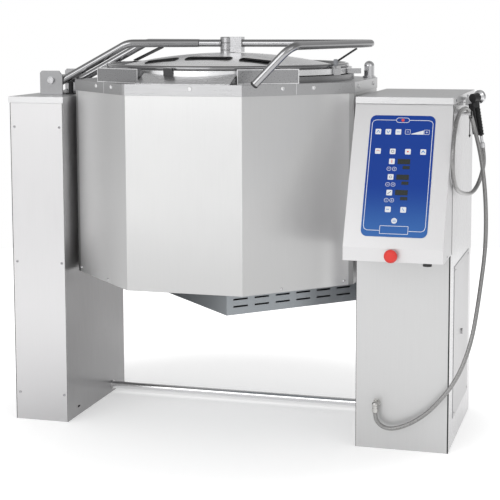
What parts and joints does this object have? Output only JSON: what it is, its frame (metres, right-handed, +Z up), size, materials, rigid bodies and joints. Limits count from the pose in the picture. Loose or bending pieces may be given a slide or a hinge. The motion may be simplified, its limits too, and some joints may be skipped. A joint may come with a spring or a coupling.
{
  "type": "tilting steam jacketed kettle",
  "caption": "Tilting steam jacketed cooking kettle with bottom-driven scraper stirrer, domed swing lid, pouring lip, control console and hand shower between two columns.",
  "frame": {"origin": "on the floor under the centre of the cooking bowl", "axes": "+Z up, +X towards the column with the control console, -Y towards the cook and the pouring lip"},
  "size_m": [1.5266, 0.988, 1.2543],
  "materials": {
    "black_plastic": "moulded",
    "black_rubber": "matt",
    "bowl_steel": "fine ground stainless",
    "brass_nickel": "nickel-plated brass",
    "casing_steel": "satin brushed stainless sheet",
    "cast": "painted casting",
    "grey_plastic": "moulded",
    "hidden_steel": "mill finish",
    "hose_rubber": "smooth reinforced hose",
    "membrane": "embossed polyester membrane, no lettering",
    "motor_paint": "semi-gloss enamel",
    "polished_steel": "polished stainless",
    "red_plastic": "moulded",
    "steel": "satin brushed stainless sheet",
    "tube_steel": "satin stainless tube",
    "unit_paint": "powder coat",
    "white_plastic": "food-grade polymer"
  },
  "bodies": {
    "stand": {"left_base_plate": "hidden_steel", "left_column_cover": "steel", "left_column_shell": "steel", "left_front_panel": "steel", "left_trunnion_bearing": "cast", "tilt_gearmotor": "motor_paint", "lid_hinge_bracket": "steel", "lid_hinge_pin": "polished_steel", "lid_stops": "black_rubber", "right_base_plate": "hidden_steel", "right_column_shell": "steel", "right_front_panel": "steel", "right_trunnion_bearing": "cast", "inspection_hatch": "steel", "control_unit": "unit_paint", "supply_connections": "brass_nickel", "console_housing": "steel", "console_lid": "steel", "membrane_panel": "membrane", "stop_collar": "grey_plastic", "console_gland": "black_plastic", "tie_tube": "tube_steel", "water_tap_elbow": "brass_nickel", "water_hose": "hose_rubber", "shower_hanger": "steel", "hook_cap": "black_plastic", "shower_body": "black_plastic", "shower_grip": "black_rubber", "shower_rose": "polished_steel"},
    "vessel": {"casing_shell": "casing_steel", "casing_floor": "casing_steel", "rim_deck": "steel", "bowl": "bowl_steel", "bowl_wall": "bowl_steel", "steam_jacket": "hidden_steel", "heating_elements": "hidden_steel", "shaft_tube": "hidden_steel", "pouring_lip": "bowl_steel", "spout_guards": "steel", "left_trunnion": "hidden_steel", "right_trunnion": "hidden_steel", "louvred_drive_box": "steel", "stirrer_gearmotor": "motor_paint", "safety_valve": "polished_steel"},
    "stirrer": {"stirrer_shaft": "bowl_steel", "stirrer_frame": "bowl_steel", "stirrer_scrapers": "white_plastic"},
    "lid": {"lid_hinge_sleeve": "tube_steel", "lid_arm_front": "tube_steel", "lid_arm_back": "tube_steel", "lid_handle_tube": "tube_steel", "lid_struts": "tube_steel", "lid_dome": "bowl_steel", "lid_hub": "polished_steel", "lid_ring": "tube_steel", "lid_feet": "steel"},
    "clamp_knob_body": {"clamp_knob": "black_plastic"},
    "stop_button_body": {"stop_button": "red_plastic"},
    "shower_lever_body": {"shower_lever": "black_plastic"},
    "hanging_rod_body": {"hanging_rod": "polished_steel"}
  },
  "joints": [
    {"name": "vessel_tilt", "type": "hinge", "parent": "stand", "child": "vessel", "pos_m": [0, 0, 0.96], "axis": [1, 0, 0], "range_deg": [0, 80]},
    {"name": "stirrer_spin", "type": "hinge", "parent": "vessel", "child": "stirrer", "pos_m": [0, 0, 0.9], "axis": [0, 0, 1], "continuous": true},
    {"name": "lid_swing", "type": "hinge", "parent": "stand", "child": "lid", "pos_m": [-0.58, 0, 1.113], "axis": [0, -1, 0], "range_deg": [0, 96]},
    {"name": "clamp_knob_turn", "type": "hinge", "parent": "lid", "child": "clamp_knob_body", "pos_m": [0.38663, -0.11821, 1.18], "axis": [0, 0, 1], "continuous": true},
    {"name": "stop_push", "type": "slide", "parent": "stand", "child": "stop_button_body", "axis": [0, 1, 0], "range_m": [0, 0.005], "stiffness_N_per_m": 400},
    {"name": "shower_lever_squeeze", "type": "hinge", "parent": "stand", "child": "shower_lever_body", "pos_m": [0.80249, -0.00606, 1.04325], "axis": [0.8283, -0.5446, 0.1312], "range_deg": [0, 7], "stiffness_Nm_per_rad": 0.6},
    {"name": "hanging_rod_swing", "type": "hinge", "parent": "stand", "child": "hanging_rod_body", "pos_m": [0.8035, -0.118, 1.0107], "axis": [1, 0, 0], "range_deg": [-20, 20]}
  ],
  "couplings": [
    {"joint": "lid_swing", "follows": "vessel_tilt", "ratio": 1.2}
  ]
}
